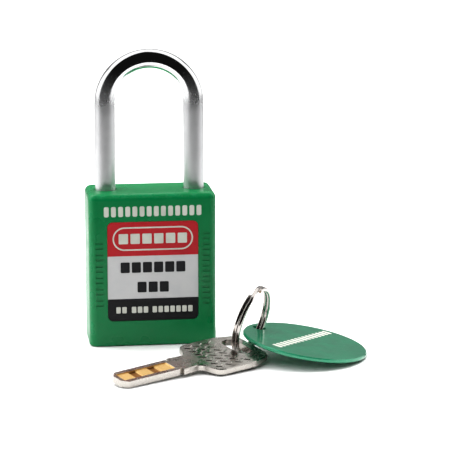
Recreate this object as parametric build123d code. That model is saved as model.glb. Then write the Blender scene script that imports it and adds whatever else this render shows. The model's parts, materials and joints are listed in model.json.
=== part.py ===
"""Safety padlock with its key set.

Millimetres. The origin is the centre of the padlock's bottom face, +Z is up,
the front label faces -Y. The key, the split ring and the tag lie in front.
One STEP file is written for each separate piece.
"""
import os
from math import asin, cos, pi, radians, sin, sqrt

from build123d import *

# ---- overall sizes ---------------------------------------------------------
BODY_W = 39.5            # across the front
BODY_D = 19.5            # front to back
BODY_H = 48.0
EDGE_R = 2.4             # upright edges
TOP_R = 1.9              # top rim
FOOT_R = 0.8             # bottom rim
SHACKLE_D = 6.35
LEG_X = 13.75            # leg centre from the middle
SHACKLE_TOP = 91.5       # top of the arch
HEEL_END = 20.0
TOE_END = 35.5
LIFT = 14.0              # how far the open shackle stands up
LEG_CHAMFER = 0.6

# ---- shell -----------------------------------------------------------------
WALL = 2.2
ROOF = 3.2
CAVITY_R = 1.2
SHELF_X0 = 11.9
SHELF_HALF = 3.5
SHELF_Z0, SHELF_Z1 = 27.0, 31.0
LABEL_W, LABEL_H, LABEL_R = 28.3, 31.4, 1.8
LABEL_Z0 = 8.0
RECESS = 0.5
MARK_W, MARK_LINE, MARK_DEEP = 2.4, 0.6, 0.25
MARK_SPREAD = 1.6        # between the two lines of one mark
MARK_X = 16.6
MARK_LOW_Z = 14.0
MARKS_LEFT, MARK_PITCH_LEFT = 6, 3.6
MARKS_RIGHT, MARK_PITCH_RIGHT = 7, 3.4

# ---- fits ------------------------------------------------------------------
SLIP = 0.1               # running fits and drop-in parts
SEAT = 0.15              # play between a part and its seat
TOUCH = 0.05             # hair between parts that rest on each other
BUSH_WALL = 0.68
BUSH_LIP = 1.2           # shell left over each bush
SMALL_CHAMFER = 0.3
LEG_PLAY = 0.12

# ---- cover and screw -------------------------------------------------------
COVER_T = 3.0
SCREW_R = 1.45
SCREW_TIP = 0.8
SCREW_HEAD_R = 2.4
SCREW_HEAD_T = 2.2
HEX_ACROSS = 2.5
SOCKET_FLOOR = 0.7       # metal left under the hex socket
SPRING_POST_R = 1.3
SPRING_POST_H = 5.0
SPRING_R, SPRING_WIRE_R, SPRING_TURNS = 2.3, 0.4, 8
SPRING_FOOT = 0.02       # hair under the spring's first turn

# ---- cylinder --------------------------------------------------------------
PLUG_R = 6.0
PLUG_FACE_R = 5.3
PLUG_FACE_Z = 0.5
PLUG_TOP = 26.0
TAIL_R = 4.0
TAIL_TOP = 29.5
TANG_W, TANG_T, TANG_H = 5.0, 2.4, 3.5
KEY_END_PLAY = 0.6       # keyway past the key's tip
CLIP_Z, CLIP_T = 27.8, 0.6
CLIP_R = 5.4
CLIP_GROOVE = 0.6
CLIP_GRIP = 0.4          # how far the clip's jaws close past the groove
HOUSING_X0, HOUSING_X1 = -8.0, 11.5
HOUSING_TOP = 31.0
WEB_T = 1.2
STRIP_T = 0.6
STRIP_HALF = 1.9
STRIP_END = 1.35         # past the outer pins
PIN_R = 1.1
DRIVER_LEN = 2.1
PIN_SPRING_R = 0.72
PIN_WIRE_R = 0.16
PIN_SPRING_TURNS = 3.5
PIN_TIP_GAP, PIN_TOP_GAP = 0.06, 0.15
PIN_TIP_CHAMFER, DRIVER_CHAMFER = 0.5, 0.2

# ---- key -------------------------------------------------------------------
KEY_T = 2.0
BLADE_LEN = 21.0
BLADE_W = 7.8
KEY_LEN = 50.5
NECK_W = 9.4
NECK_END = 27.6
BOW_START = 30.0
BOW_W = 21.2
BOW_END_W = 16.4
SLOT_U, SLOT_V = 45.2, 1.3
SLOT_LEN, SLOT_W = 11.6, 5.2
CUT_FIRST, CUT_PITCH = 3.6, 3.35
SHALLOW, DEEP = 0.35, 0.85
SHALLOW_FLAT, DEEP_FLAT = 3.8, 1.7       # lengths of the level floors
CUT_DEPTHS = (SHALLOW, DEEP, SHALLOW, DEEP, SHALLOW)
CUT_LAND = 0.12          # depth where the track runs out
CUT_W = 4.8
CUT_TOP = 0.3            # cutter's height over the face
CUT_RUN_OUT, CUT_CLEAR = 0.4, 0.8
TIP_TAPER = 1.7
NOTCH_DEPTH, NOTCH_W = 0.6, 1.0
BOW_STRAIGHT = 13.5
BOW_FILLET, NECK_FILLET, BOW_CHAMFER = 3.2, 2.0, 0.25
KEY_AT = (-15.1, -54.8, 2.6)     # middle of the tip, top face
KEY_YAW, KEY_PITCH, KEY_ROLL = 30.4, 2.1, 8.0

# ---- locking parts ---------------------------------------------------------
BALL_R = 3.6
BALL_X = 8.5
BALL_Z = 40.0
BALL_TRAVEL = 1.0
BALL_TRACK = 0.12        # play of the ball in the shackle's track
CARRIER_Z0, CARRIER_Z1 = 31.2, 44.6
CAM_BORE_PLAY = 0.45
CAM_ROOF = 0.8
CAM_Z0, CAM_Z1 = 29.8, 43.5
CAM_HUB_R = 4.4
CAM_LOBE_Z = 36.0
CAM_GAP = 0.15
CAM_STEPS = 64
CARRIER_SLOT_X = 11.7
CARRIER_SLOT_HALF = 3.7
LEG_BORE_PLAY = 0.22

# ---- split ring and tag ----------------------------------------------------
RING_R = 10.4
RING_WIRE_W, RING_WIRE_T, RING_WIRE_R = 1.25, 1.06, 0.3
RING_STEP = 1.16         # from one turn to the other
RING_TURNS = 1.94
RING_JOG = 50.0          # degrees over which the wire changes turn
RING_POINTS = 70
RING_LOW = (27.52, -24.89, 4.77)         # halfway between the key's slot and the tag's hole
RING_HALF_CHORD = 7.8
RING_UP = (0.113, -0.292, 0.950)
RING_N = (0.820, -0.513, -0.255)
RING_START = -62.0
TAG_R = 19.2
TAG_T = 1.2
TAG_BEVEL = 0.3
TAG_HOLE_R = 2.1
TAG_TOP_C = (44.9, -26.9, 4.52)
TAG_N = (0.166, -0.017, 0.986)
TAG_HOLE_U, TAG_HOLE_V = -13.1, 8.3
TAG_ROW_U, TAG_ROW_V, TAG_ROW_TURN = -0.6, 1.4, 51.0

# ---- printed labels --------------------------------------------------------
SHEET_T = 0.25
INK_T = 0.08
LABEL_GAP = 0.1
BAND_RED_H = 10.8
BAND_BLACK_H = 7.0
PILL_W, PILL_H, PILL_LINE = 24.9, 7.4, 0.45
RED_BLOCK = (2.9, 0.75, 3.2)             # width, gap, height of one block
DARK_BLOCK = (2.8, 0.65, 3.3)
LOW_BLOCK = (1.4, 0.45, 2.0)
LOW_GROUPS = ((-9.9, 2), (-4.15, 3), (6.0, 7))
WRITE_LINE_W, WRITE_LINE_H, WRITE_PITCH = 23.0, 0.45, 5.2
HEADING_W, HEADING_H = 24.5, 4.6
TOP_PRINT_Z = 42.6
BAR_W, BAR_H, BAR_R, BAR_PITCH = 1.5, 3.2, 0.5, 2.2
TOP_BARS, TAG_BARS = 14, 15

SIDES = (-1, 1)
ROOT = "parts"


def box(x0, x1, y0, y1, z0, z1):
    """A box between two corners."""
    mid = ((x0 + x1) / 2, (y0 + y1) / 2, (z0 + z1) / 2)
    return Pos(*mid) * Box(x1 - x0, y1 - y0, z1 - z0)


def rod(x, y, z0, z1, r):
    """An upright cylinder between two heights."""
    return Pos(x, y, (z0 + z1) / 2) * Cylinder(r, z1 - z0)


def rod_x(x0, x1, z, r):
    """A cylinder lying along X."""
    return Pos((x0 + x1) / 2, 0, z) * Rot(0, 90, 0) * Cylinder(r, x1 - x0)


def rounded_block(w, d, z0, z1, r):
    """A block with rounded upright edges."""
    with BuildSketch(Plane.XY.offset(z0)) as sk:
        RectangleRounded(w, d, r)
    return extrude(sk.sketch, z1 - z0)


def face_plate(w, h, r, z_mid, y_out, thick, x_mid=0.0):
    """A rounded plate on the front (-Y) side, outer face at y_out."""
    plane = Plane(origin=(x_mid, y_out, z_mid), x_dir=(1, 0, 0), z_dir=(0, -1, 0))
    with BuildSketch(plane) as sk:
        RectangleRounded(w, h, r)
    return extrude(sk.sketch, -thick)


def mirrored(shape):
    """The same shape on the back side."""
    return Rot(0, 0, 180) * shape


def one(shape):
    """The single solid of a boolean result, or the compound if it has more."""
    solids = shape.solids()
    return solids[0] if len(solids) == 1 else Compound(children=list(solids))


def save(name, shape):
    """Write one piece."""
    export_step(shape, os.path.join(ROOT, name + ".step"))


# ---- shell, cover, screw ---------------------------------------------------
def label_mid_z():
    return LABEL_Z0 + LABEL_H / 2


def side_marks():
    """Pairs of shallow moulded lines in a column at each side of the label."""
    cuts = []
    columns = ((-1, MARKS_LEFT, MARK_PITCH_LEFT), (1, MARKS_RIGHT, MARK_PITCH_RIGHT))
    for side, count, pitch in columns:
        for i in range(count):
            for half in SIDES:
                z = MARK_LOW_Z + i * pitch + half * MARK_SPREAD / 2
                r = MARK_LINE / 2 - 0.01
                cuts.append(face_plate(MARK_W, MARK_LINE, r, z, -BODY_D / 2, MARK_DEEP, side * MARK_X))
    return cuts


def body_shell():
    shell = rounded_block(BODY_W, BODY_D, 0, BODY_H, EDGE_R)
    shell = fillet(shell.faces().sort_by(Axis.Z)[-1].edges(), TOP_R)
    shell = fillet(shell.faces().sort_by(Axis.Z)[0].edges(), FOOT_R)
    shell -= rounded_block(BODY_W - 2 * WALL, BODY_D - 2 * WALL, -1, BODY_H - ROOF, CAVITY_R)
    shelf = box(SHELF_X0, BODY_W / 2 - WALL + 0.2, -SHELF_HALF, SHELF_HALF, SHELF_Z0, SHELF_Z1)
    shell += shelf - rod(LEG_X, 0, SHELF_Z0 - 1, SHELF_Z1 + 1, SCREW_R + SLIP)
    for side in SIDES:
        shell -= rod(side * LEG_X, 0, BODY_H - ROOF - 1, BODY_H - BUSH_LIP, bush_outer() + SLIP / 2)
        shell -= rod(side * LEG_X, 0, BODY_H - ROOF, BODY_H + 1, SHACKLE_D / 2 + LEG_PLAY + SLIP)
    recess = face_plate(LABEL_W, LABEL_H, LABEL_R, label_mid_z(), -BODY_D / 2, RECESS)
    shell -= recess
    shell -= mirrored(recess)
    for cut in side_marks():
        shell -= cut
    return one(shell)


def bush_outer():
    return SHACKLE_D / 2 + LEG_PLAY + BUSH_WALL


def leg_bush(x):
    z0, z1 = BODY_H - ROOF, BODY_H - BUSH_LIP - SLIP / 2
    tube = rod(x, 0, z0, z1, bush_outer())
    tube -= rod(x, 0, z0 - 1, z1 + 1, SHACKLE_D / 2 + LEG_PLAY)
    rim = tube.edges().filter_by(GeomType.CIRCLE).sort_by(Axis.Z)[-2:].sort_by(SortBy.RADIUS)[0]
    return one(chamfer(rim, SMALL_CHAMFER))


def bottom_cover():
    w = BODY_W - 2 * WALL - 2 * SLIP
    d = BODY_D - 2 * WALL - 2 * SLIP
    cover = rounded_block(w, d, 0, COVER_T, CAVITY_R - SLIP)
    cover -= rod(0, 0, -1, COVER_T + 1, PLUG_FACE_R + SLIP)
    cover -= rod(LEG_X, 0, SCREW_TIP, COVER_T + 1, SCREW_R)
    cover += rod(-LEG_X, 0, COVER_T - 0.5, COVER_T + SPRING_POST_H, SPRING_POST_R)
    return one(cover)


def cover_screw():
    screw = rod(LEG_X, 0, SCREW_TIP, SHELF_Z1, SCREW_R)
    head = rod(LEG_X, 0, SHELF_Z1, SHELF_Z1 + SCREW_HEAD_T, SCREW_HEAD_R)
    head = chamfer(head.edges().sort_by(Axis.Z)[-1], SMALL_CHAMFER)
    with BuildSketch(Plane.XY.offset(SHELF_Z1 + SOCKET_FLOOR)) as sk:
        with Locations((LEG_X, 0)):
            RegularPolygon(HEX_ACROSS / 2, 6, major_radius=False)
    return one(screw + head - extrude(sk.sketch, SCREW_HEAD_T))


# ---- cylinder --------------------------------------------------------------
def pin_heights():
    """Heights of the pins when the key stands in the plug."""
    tip = PLUG_FACE_Z + BLADE_LEN
    return [tip - CUT_FIRST - CUT_PITCH * i for i in range(len(CUT_DEPTHS))]


def strip_x0():
    return HOUSING_X1 - STRIP_T


def cylinder_housing():
    half = BODY_D / 2 - WALL - SEAT
    z0 = COVER_T + SLIP
    housing = box(HOUSING_X0, HOUSING_X1, -half, half, z0, HOUSING_TOP)
    housing -= rod(0, 0, z0 - 1, PLUG_TOP + SEAT, PLUG_R + SLIP)
    housing -= rod(0, 0, z0, HOUSING_TOP + 1, TAIL_R + SLIP)
    clip_floor = PLUG_TOP + SEAT + WEB_T
    housing -= rod(0, 0, clip_floor, HOUSING_TOP + 1, CLIP_R + 0.5)
    zs = pin_heights()
    for z in zs:
        housing -= rod_x(2, HOUSING_X1 + 1, z, PIN_R + SLIP / 2)
    housing -= strip_box(zs)
    return one(housing)


def strip_box(zs):
    return box(strip_x0(), HOUSING_X1, -STRIP_HALF, STRIP_HALF, zs[-1] - STRIP_END, zs[0] + STRIP_END)


def pin_cover_strip():
    return one(strip_box(pin_heights()))


def plug():
    body = rod(0, 0, COVER_T + SEAT, PLUG_TOP, PLUG_R)
    body += rod(0, 0, PLUG_FACE_Z, COVER_T + SEAT, PLUG_FACE_R)
    body += rod(0, 0, PLUG_TOP, TAIL_TOP, TAIL_R)
    body += box(-TANG_W / 2, TANG_W / 2, -TANG_T / 2, TANG_T / 2, TAIL_TOP, TAIL_TOP + TANG_H)
    groove = rod(0, 0, CLIP_Z, CLIP_Z + CLIP_T, TAIL_R + 1)
    body -= groove - rod(0, 0, CLIP_Z - 1, CLIP_Z + 2, TAIL_R - CLIP_GROOVE)
    top = PLUG_FACE_Z + BLADE_LEN + KEY_END_PLAY
    half_t, half_w = KEY_T / 2 + SEAT, BLADE_W / 2 + SEAT
    body -= box(-half_t, half_t, -half_w, half_w, PLUG_FACE_Z - 1, top)
    for z in pin_heights():
        body -= rod_x(0, PLUG_R + 1, z, PIN_R + SLIP / 2)
    return one(body)


def plug_clip():
    """Open spring clip in the plug's tail groove."""
    clip = rod(0, 0, CLIP_Z, CLIP_Z + CLIP_T, CLIP_R)
    clip -= rod(0, 0, CLIP_Z - 1, CLIP_Z + 2, TAIL_R - CLIP_GROOVE)
    mouth = TAIL_R - CLIP_GROOVE - CLIP_GRIP
    return one(clip - box(-mouth, mouth, 0, CLIP_R + 1, CLIP_Z - 1, CLIP_Z + 2))


def key_pin(z, depth):
    x0 = KEY_T / 2 - depth + PIN_TIP_GAP
    x1 = PLUG_R - PIN_TOP_GAP
    pin = rod_x(x0, x1, z, PIN_R)
    return one(chamfer(pin.edges().sort_by(Axis.X)[0], PIN_TIP_CHAMFER))


def driver_x0():
    return PLUG_R + SLIP + TOUCH


def driver_pin(z):
    x0 = driver_x0()
    pin = rod_x(x0, x0 + DRIVER_LEN, z, PIN_R)
    return one(chamfer(pin.edges().sort_by(Axis.X)[-1], DRIVER_CHAMFER))


def pin_spring(z):
    x0 = driver_x0() + DRIVER_LEN + PIN_WIRE_R
    x1 = strip_x0() - PIN_WIRE_R - TOUCH
    wire = coil(PIN_SPRING_R, PIN_WIRE_R, x1 - x0, PIN_SPRING_TURNS)
    return one(Pos(x0, 0, z) * Rot(0, 90, 0) * wire)


def coil(radius, wire_r, height, turns):
    """A round-wire coil standing on the XY plane."""
    path = Helix(pitch=height / turns, height=height, radius=radius)
    start = path @ 0
    plane = Plane(origin=start, z_dir=path % 0)
    with BuildSketch(plane) as sk:
        Circle(wire_r)
    return sweep(sk.sketch, path=path, is_frenet=True)


# ---- locking parts ---------------------------------------------------------
def cam_reach():
    return BALL_X - BALL_R - CAM_GAP


def cam_outline():
    """Two-lobed curve: widest along X, narrower by the ball travel along Y."""
    points = []
    for i in range(CAM_STEPS):
        a = 2 * pi * i / CAM_STEPS
        from_x_axis = asin(abs(sin(a))) / (pi / 2)
        r = cam_reach() - BALL_TRAVEL * from_x_axis
        points.append((r * cos(a), r * sin(a)))
    return points


def locking_cam():
    with BuildSketch(Plane.XY.offset(CAM_LOBE_Z)) as sk:
        with BuildLine():
            Polyline(cam_outline(), close=True)
        make_face()
    cam = extrude(sk.sketch, CAM_Z1 - CAM_LOBE_Z)
    cam += rod(0, 0, CAM_Z0, CAM_LOBE_Z, CAM_HUB_R)
    w, t = TANG_W / 2 + SLIP, TANG_T / 2 + SLIP
    cam -= box(-w, w, -t, t, CAM_Z0 - 1, TAIL_TOP + TANG_H + SEAT)
    return one(cam)


def lock_carrier():
    half = BODY_D / 2 - WALL - SEAT
    wide = BODY_W / 2 - WALL - SEAT
    block = rounded_block(2 * wide, 2 * half, CARRIER_Z0, CARRIER_Z1, CAVITY_R)
    block -= rod(0, 0, CARRIER_Z0 - 1, CARRIER_Z1 - CAM_ROOF, cam_reach() + CAM_BORE_PLAY)
    block -= rod_x(-LEG_X, LEG_X, BALL_Z, BALL_R + SLIP)
    for side in SIDES:
        bore_r = SHACKLE_D / 2 + LEG_BORE_PLAY
        block -= rod(side * LEG_X, 0, CARRIER_Z0 - 1, CARRIER_Z1 + 1, bore_r)
        xs = sorted((side * CARRIER_SLOT_X, side * (wide + 1)))
        block -= box(xs[0], xs[1], -CARRIER_SLOT_HALF, CARRIER_SLOT_HALF, CARRIER_Z0 - 1, CARRIER_Z1 + 1)
    return one(block)


def ball(side):
    return one(Pos(side * BALL_X, 0, BALL_Z) * Sphere(BALL_R))


def ball_track(side):
    """Tapered groove the ball leaves in the leg over the whole lift."""
    top = Vector(side * BALL_X, 0, BALL_Z)
    low = Vector(side * (BALL_X - BALL_TRAVEL), 0, BALL_Z - LIFT)
    r = BALL_R + BALL_TRACK
    run = low - top
    tube = Plane(origin=top, z_dir=run.normalized()) * Pos(0, 0, run.length / 2) * Cylinder(r, run.length)
    return tube + Pos(*top) * Sphere(r) + Pos(*low) * Sphere(r)


def shackle():
    r = SHACKLE_D / 2
    arch_z = SHACKLE_TOP - LEG_X - r
    arch_top = (0, 0, arch_z + LEG_X)
    heel = Line((-LEG_X, 0, HEEL_END), (-LEG_X, 0, arch_z))
    arch = ThreePointArc((-LEG_X, 0, arch_z), arch_top, (LEG_X, 0, arch_z))
    toe = Line((LEG_X, 0, arch_z), (LEG_X, 0, TOE_END))
    path = Wire([heel.edge(), arch.edge(), toe.edge()])
    with BuildSketch(Plane.XY.offset(HEEL_END)) as sk:
        with Locations((-LEG_X, 0)):
            Circle(r)
    bar = sweep(sk.sketch, path=path)
    bar = chamfer(bar.faces().filter_by(Plane.XY).edges(), LEG_CHAMFER)
    for side in SIDES:
        bar -= ball_track(side)
    return one(bar)


def shackle_spring():
    z0 = COVER_T + SPRING_WIRE_R + SPRING_FOOT
    height = HEEL_END - SPRING_WIRE_R - TOUCH - z0
    wire = coil(SPRING_R, SPRING_WIRE_R, height, SPRING_TURNS)
    return one(Pos(-LEG_X, 0, z0) * wire)


# ---- labels ----------------------------------------------------------------
def sheet_front():
    return -BODY_D / 2 + RECESS - SHEET_T


def label_sheet():
    w, h = LABEL_W - 2 * LABEL_GAP, LABEL_H - 2 * LABEL_GAP
    return face_plate(w, h, LABEL_R - LABEL_GAP, label_mid_z(), sheet_front(), SHEET_T)


def label_band(z_low, z_high):
    """A printed band: the label's outline kept between two heights."""
    w, h = LABEL_W - 2 * LABEL_GAP, LABEL_H - 2 * LABEL_GAP
    ink = face_plate(w, h, LABEL_R - LABEL_GAP, label_mid_z(), sheet_front() - INK_T, INK_T)
    return one(ink & box(-LABEL_W, LABEL_W, -BODY_D, 0, z_low, z_high))


def red_band():
    return label_band(LABEL_Z0 + LABEL_H - BAND_RED_H, LABEL_Z0 + LABEL_H)


def black_band():
    return label_band(LABEL_Z0, LABEL_Z0 + BAND_BLACK_H)


def bars(rows, y_out, thick, r=0.3):
    """Plain rounded bars; rows of (x_mid, z_mid, width, height)."""
    return [face_plate(w, h, r, z, y_out, thick, x).solids()[0] for x, z, w, h in rows]


def block_row(z, count, width, gap, height, x_mid=0.0):
    """A centred row of equal blocks."""
    step = width + gap
    return [(x_mid + (i - (count - 1) / 2) * step, z, width, height) for i in range(count)]


def red_mid_z():
    return LABEL_Z0 + LABEL_H - BAND_RED_H / 2


def pill_outline(y_out):
    z = red_mid_z()
    outer = face_plate(PILL_W, PILL_H, PILL_H / 2 - 0.01, z, y_out, INK_T)
    inner_h = PILL_H - 2 * PILL_LINE
    inner = face_plate(PILL_W - 2 * PILL_LINE, inner_h, inner_h / 2 - 0.01, z, y_out - 1, INK_T + 2)
    return one(outer - inner)


def pale_marks():
    """Pale print: a long ring with blocks in it on the red band, small blocks on the black."""
    y = sheet_front() - 2 * INK_T
    rows = block_row(red_mid_z(), 6, *RED_BLOCK)
    for x_mid, count in LOW_GROUPS:
        rows += block_row(LABEL_Z0 + BAND_BLACK_H / 2, count, *LOW_BLOCK, x_mid)
    return Compound(children=[pill_outline(y)] + bars(rows, y, INK_T))


def dark_marks():
    """Dark print on the light band: two rows of plain blocks."""
    y = sheet_front() - INK_T
    low = LABEL_Z0 + BAND_BLACK_H
    light_h = LABEL_H - BAND_RED_H - BAND_BLACK_H
    rows = block_row(low + 0.73 * light_h, 6, *DARK_BLOCK)
    rows += block_row(low + 0.27 * light_h, 3, *DARK_BLOCK)
    return Compound(children=bars(rows, y, INK_T))


def back_lines():
    """Write-on lines of the back label and its heading bar."""
    rows = [(0.0, LABEL_Z0 + WRITE_PITCH * (i + 1), WRITE_LINE_W, WRITE_LINE_H) for i in range(4)]
    rows.append((0.0, LABEL_Z0 + LABEL_H - HEADING_H, HEADING_W, HEADING_H))
    return Compound(children=bars(rows, sheet_front() - INK_T, INK_T, 0.2))


def top_print():
    """A row of pale plain bars above the label."""
    rows = block_row(TOP_PRINT_Z, TOP_BARS, BAR_W, BAR_PITCH - BAR_W, BAR_H)
    return Compound(children=bars(rows, -BODY_D / 2 - INK_T / 2, INK_T / 2, BAR_R))


# ---- key, ring, tag --------------------------------------------------------
def key_frame():
    """Plane of the key's top face: x along the key, z out of the face."""
    yaw, pitch, roll = radians(KEY_YAW), radians(KEY_PITCH), radians(KEY_ROLL)
    along = Vector(cos(yaw) * cos(pitch), sin(yaw) * cos(pitch), sin(pitch))
    side = Vector(-sin(yaw), cos(yaw), 0)
    up = along.cross(side)
    across = side * cos(roll) + up * sin(roll)
    return Plane(origin=KEY_AT, x_dir=along, z_dir=along.cross(across))


def key_outline():
    """Half widths along the key, tip first, as one closed line."""
    b, n, w, e = BLADE_W / 2, NECK_W / 2, BOW_W / 2, BOW_END_W / 2
    notch = BLADE_LEN - NOTCH_W
    half = [
        (0.0, b / 2),
        (TIP_TAPER, b),
        (notch, b),
        (notch + 0.2 * NOTCH_W, b - NOTCH_DEPTH),
        (notch + 0.8 * NOTCH_W, b - NOTCH_DEPTH),
        (BLADE_LEN, n),
        (NECK_END, n - 0.5),
        (BOW_START, w),
        (BOW_START + BOW_STRAIGHT, w),
        (KEY_LEN, e),
    ]
    return half + [(u, -v) for u, v in reversed(half)]


def bow_corners(solid):
    """Upright edges of the bow's corners."""
    return [e for e in solid.edges().filter_by(Axis.Z) if e.center().X > BOW_START - 0.5]


def neck_corners(solid):
    return [e for e in solid.edges().filter_by(Axis.Z) if abs(e.center().X - NECK_END) < 0.5]


def cut_profile():
    """Side view of the milled track: flats at the pin depths, slopes between."""
    reach = SHALLOW_FLAT / 2
    first, last = CUT_FIRST - reach, CUT_FIRST + CUT_PITCH * (len(CUT_DEPTHS) - 1) + reach
    points = [(first - CUT_CLEAR, CUT_TOP), (first - CUT_RUN_OUT, -CUT_LAND)]
    for i, depth in enumerate(CUT_DEPTHS):
        u = CUT_FIRST + CUT_PITCH * i
        half = (SHALLOW_FLAT if depth == SHALLOW else DEEP_FLAT) / 2
        points += [(u - half, -depth), (u + half, -depth)]
    return points + [(last + CUT_RUN_OUT, -CUT_LAND), (last + CUT_CLEAR, CUT_TOP)]


def key():
    with BuildSketch(Plane.XY.offset(-KEY_T)) as sk:
        with BuildLine():
            Polyline(key_outline(), close=True)
        make_face()
    body = extrude(sk.sketch, KEY_T)
    body = fillet(bow_corners(body), BOW_FILLET)
    body = fillet(neck_corners(body), NECK_FILLET)
    faces = body.faces().sort_by(Axis.Z)
    rim = faces[0].edges() + faces[-1].edges()
    body = chamfer([e for e in rim if e.center().X > BLADE_LEN + 1], BOW_CHAMFER)
    slot = Pos(SLOT_U, SLOT_V, -KEY_T / 2) * Box(SLOT_W, SLOT_LEN - SLOT_W, KEY_T + 2)
    for side in SIDES:
        end_v = SLOT_V + side * (SLOT_LEN - SLOT_W) / 2
        slot += Pos(SLOT_U, end_v, -KEY_T / 2) * Cylinder(SLOT_W / 2, KEY_T + 2)
    body -= slot
    plane = Plane(origin=(0, CUT_W / 2, 0), x_dir=(1, 0, 0), z_dir=(0, -1, 0))
    with BuildSketch(plane) as track:
        with BuildLine():
            Polyline(cut_profile(), close=True)
        make_face()
    body -= extrude(track.sketch, CUT_W)
    return one(key_frame() * body)


def ring_height(angle):
    """How far along the axis the wire lies: level turns joined by a smooth step."""
    middle = RING_TURNS * 180
    share = min(1.0, max(0.0, (angle - middle) / RING_JOG + 0.5))
    return RING_STEP * share * share * (3 - 2 * share)


def ring_centre():
    """Centre of the ring, so that it passes the slot and the hole at any radius."""
    rise = sqrt(RING_R ** 2 - RING_HALF_CHORD ** 2)
    return Vector(*RING_LOW) + Vector(*RING_UP).normalized() * rise


def split_ring():
    """Two level turns of flattened wire side by side, joined by a step."""
    points = []
    for i in range(RING_POINTS + 1):
        angle = 360 * RING_TURNS * i / RING_POINTS
        turn = radians(angle)
        points.append((RING_R * cos(turn), RING_R * sin(turn), ring_height(angle)))
    path = Spline(*points)
    with BuildSketch(Plane(origin=points[0], x_dir=(1, 0, 0), z_dir=(0, 1, 0))) as sk:
        RectangleRounded(RING_WIRE_W, RING_WIRE_T, RING_WIRE_R)
    wire = sweep(sk.sketch, path=path)
    frame = Plane(origin=ring_centre(), x_dir=Vector(*RING_N).cross(Vector(0, 0, 1)), z_dir=RING_N)
    return one(frame * Rot(0, 0, RING_START) * Pos(0, 0, -RING_STEP / 2) * wire)


def tag_frame():
    """Plane of the tag's upper face."""
    return Plane(origin=TAG_TOP_C, x_dir=Vector(0, 1, 0).cross(Vector(*TAG_N)), z_dir=TAG_N)


def key_tag():
    disc = Pos(0, 0, -TAG_T / 2) * Cylinder(TAG_R, TAG_T)
    disc = chamfer(disc.edges().filter_by(GeomType.CIRCLE), TAG_BEVEL)
    disc -= Pos(TAG_HOLE_U, TAG_HOLE_V, -TAG_T / 2) * Cylinder(TAG_HOLE_R, TAG_T + 1)
    return one(tag_frame() * disc)


def key_tag_marks():
    """A row of pale plain bars printed across the tag."""
    row = []
    for i in range(TAG_BARS):
        with BuildSketch(Plane.XY) as sk:
            with Locations(((i - (TAG_BARS - 1) / 2) * BAR_PITCH, 0)):
                RectangleRounded(BAR_W, BAR_H, BAR_R)
        row.append(extrude(sk.sketch, INK_T / 2))
    place = tag_frame() * Pos(TAG_ROW_U, TAG_ROW_V, 0) * Rot(0, 0, TAG_ROW_TURN)
    return Compound(children=[(place * bar).solids()[0] for bar in row])


def build():
    os.makedirs(ROOT, exist_ok=True)
    save("body_shell", body_shell())
    save("bottom_cover", bottom_cover())
    save("cover_screw", cover_screw())
    save("heel_bush", leg_bush(-LEG_X))
    save("toe_bush", leg_bush(LEG_X))
    save("cylinder_housing", cylinder_housing())
    save("pin_cover_strip", pin_cover_strip())
    save("plug", plug())
    save("plug_clip", plug_clip())
    save("locking_cam", locking_cam())
    save("lock_carrier", lock_carrier())
    save("ball_heel", ball(-1))
    save("ball_toe", ball(1))
    save("shackle", shackle())
    save("shackle_spring", shackle_spring())
    for i, (z, depth) in enumerate(zip(pin_heights(), CUT_DEPTHS), start=1):
        save("key_pin_%d" % i, key_pin(z, depth))
        save("driver_pin_%d" % i, driver_pin(z))
        save("pin_spring_%d" % i, pin_spring(z))
    save("label_front", one(label_sheet()))
    save("label_front_red", red_band())
    save("label_front_black", black_band())
    save("label_front_pale_marks", pale_marks())
    save("label_front_dark_marks", dark_marks())
    save("label_back", one(mirrored(label_sheet())))
    save("label_back_lines", mirrored(back_lines()))
    save("top_print", top_print())
    save("key", key())
    save("split_ring", split_ring())
    save("key_tag", key_tag())
    save("key_tag_marks", key_tag_marks())


build()
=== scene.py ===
# %% [markdown]
# # A safety padlock with its key, ring and tag
#
# This lesson dresses a finished padlock model. The solid parts come ready made, each at its real
# size, and stay where they are. The work here is the finish of every piece, the printed and
# stamped detail that a solid model leaves out, the light, and the camera.
#
# The first cell loads the parts. Each one is called a node, and a node is a mesh whose points are
# already in metres, with the padlock's bottom centre at the origin and +Z up.

# %% Load the parts
import json
import math

import bmesh
import bpy
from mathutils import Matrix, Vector


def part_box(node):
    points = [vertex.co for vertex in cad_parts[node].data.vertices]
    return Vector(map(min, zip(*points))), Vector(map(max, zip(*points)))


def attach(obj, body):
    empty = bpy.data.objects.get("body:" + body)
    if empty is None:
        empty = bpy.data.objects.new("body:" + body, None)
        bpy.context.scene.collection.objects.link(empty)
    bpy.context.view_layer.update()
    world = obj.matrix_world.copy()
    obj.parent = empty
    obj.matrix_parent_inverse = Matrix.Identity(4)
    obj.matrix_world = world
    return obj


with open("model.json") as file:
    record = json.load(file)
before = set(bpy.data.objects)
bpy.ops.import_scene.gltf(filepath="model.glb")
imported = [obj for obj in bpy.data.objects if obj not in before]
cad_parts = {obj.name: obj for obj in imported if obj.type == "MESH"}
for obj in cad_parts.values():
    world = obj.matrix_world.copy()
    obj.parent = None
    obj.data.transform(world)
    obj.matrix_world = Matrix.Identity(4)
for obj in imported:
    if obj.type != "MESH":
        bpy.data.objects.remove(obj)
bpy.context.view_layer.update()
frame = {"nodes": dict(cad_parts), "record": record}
nodes = frame["nodes"]
print("parts loaded:", len(nodes))

# %% [markdown]
# ## Small tools for building finishes
#
# A finish in Blender is a tree of shader nodes. It can be clicked together by hand, or built in
# code. Code is chosen here because one short helper can place a node, set its values and give
# back its outputs, and all the finishes can then share it.

# %% Helpers for shader trees
MM = 0.001


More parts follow.
